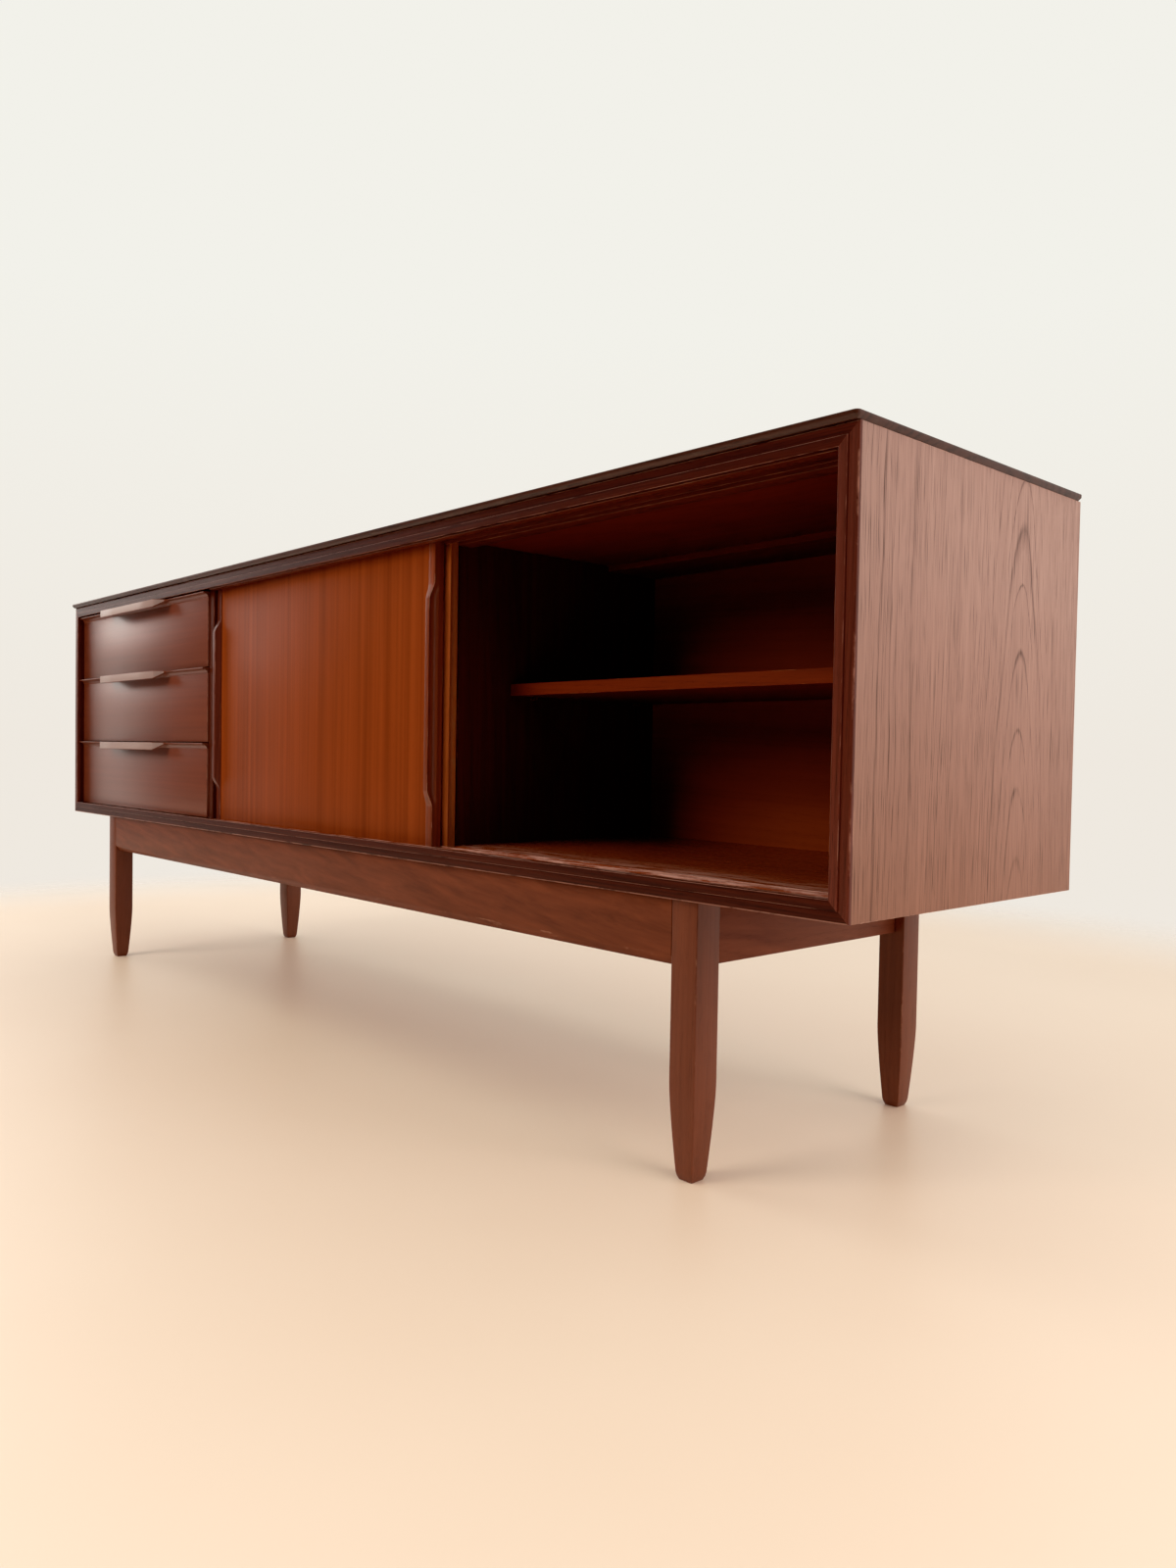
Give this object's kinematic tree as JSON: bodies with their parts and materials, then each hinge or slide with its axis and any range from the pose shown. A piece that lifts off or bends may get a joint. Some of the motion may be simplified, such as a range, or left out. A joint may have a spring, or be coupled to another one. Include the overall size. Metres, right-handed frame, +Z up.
{
  "type": "sideboard buffet",
  "caption": "Long low mid-century sideboard on a separate square-legged frame, with stacked drawers beside a bay closed by two sliding doors over fixed shelves.",
  "frame": {"origin": "on the floor, under the middle of the overall box at rest", "axes": "+Z up, +X to the right seen from the front, front faces -Y"},
  "size_m": [1.985, 0.453, 0.735],
  "materials": {
    "top_veneer": "dark satin veneer",
    "side_veneer": "matt open-grained veneer",
    "frame_teak": "dark satin moulding with worn arrises",
    "leg_wood": "dark red-brown satin",
    "rail_wood": "satin with ribbon figure",
    "door_veneer": "satin vertical-grained veneer",
    "edge_teak": "satin solid wood",
    "handle_teak": "satin solid wood, polished by hands",
    "drawer_veneer": "satin horizontal-grained veneer",
    "drawer_box_wood": "plain sealed hardwood",
    "drawer_ply": "plain plywood",
    "inner_veneer": "dark satin",
    "track_wood": "waxed hardwood",
    "runner_wood": "waxed plain hardwood",
    "back_ply": "stained plywood",
    "glide_nylon": "matt natural nylon",
    "pin_brass": "dull brass",
    "screw_steel": "zinc plated, dulled"
  },
  "bodies": {
    "carcass": {"back_batten": "inner_veneer", "back_panel": "back_ply", "back_screws": "screw_steel", "bottom_panel": "inner_veneer", "centre_divider": "inner_veneer", "corner_blocks": "runner_wood", "door_track_front": "track_wood", "door_track_middle": "track_wood", "door_track_rear": "track_wood", "drawer_partition": "inner_veneer", "drawer_runners_left": "runner_wood", "drawer_runners_right": "runner_wood", "frame_bottom": "frame_teak", "frame_left": "frame_teak", "frame_right": "frame_teak", "frame_top": "frame_teak", "leg_back_left": "leg_wood", "leg_back_right": "leg_wood", "leg_front_left": "leg_wood", "leg_front_right": "leg_wood", "shelf_left": "inner_veneer", "shelf_pins": "pin_brass", "shelf_right": "inner_veneer", "side_panel_left": "side_veneer", "side_panel_right": "side_veneer", "stand_rail_back": "rail_wood", "stand_rail_front": "rail_wood", "stand_rail_left": "rail_wood", "stand_rail_right": "rail_wood", "stand_screws": "screw_steel", "top_board": "top_veneer", "top_panel": "inner_veneer"},
    "drawer_top": {"drawer_top_back": "drawer_box_wood", "drawer_top_base": "drawer_ply", "drawer_top_front": "drawer_veneer", "drawer_top_handle_lip": "handle_teak", "drawer_top_side_left": "drawer_box_wood", "drawer_top_side_right": "drawer_box_wood"},
    "drawer_middle": {"drawer_middle_back": "drawer_box_wood", "drawer_middle_base": "drawer_ply", "drawer_middle_front": "drawer_veneer", "drawer_middle_handle_lip": "handle_teak", "drawer_middle_side_left": "drawer_box_wood", "drawer_middle_side_right": "drawer_box_wood"},
    "drawer_bottom": {"drawer_bottom_back": "drawer_box_wood", "drawer_bottom_base": "drawer_ply", "drawer_bottom_front": "drawer_veneer", "drawer_bottom_handle_lip": "handle_teak", "drawer_bottom_side_left": "drawer_box_wood", "drawer_bottom_side_right": "drawer_box_wood"},
    "front_door": {"front_door_glides": "glide_nylon", "front_door_panel": "door_veneer", "front_door_strip_left": "edge_teak", "front_door_strip_right": "edge_teak"},
    "rear_door": {"rear_door_glides": "glide_nylon", "rear_door_panel": "door_veneer", "rear_door_strip_left": "edge_teak", "rear_door_strip_right": "edge_teak"}
  },
  "joints": [
    {"name": "drawer_top_slide", "type": "slide", "parent": "carcass", "child": "drawer_top", "axis": [0, -1, 0], "range_m": [0, 0.3]},
    {"name": "drawer_middle_slide", "type": "slide", "parent": "carcass", "child": "drawer_middle", "axis": [0, -1, 0], "range_m": [0, 0.3]},
    {"name": "drawer_bottom_slide", "type": "slide", "parent": "carcass", "child": "drawer_bottom", "axis": [0, -1, 0], "range_m": [0, 0.3]},
    {"name": "front_door_slide", "type": "slide", "parent": "carcass", "child": "front_door", "axis": [1, 0, 0], "range_m": [0, 0.635]},
    {"name": "rear_door_slide", "type": "slide", "parent": "carcass", "child": "rear_door", "axis": [1, 0, 0], "range_m": [-0.01, 0.625]}
  ]
}
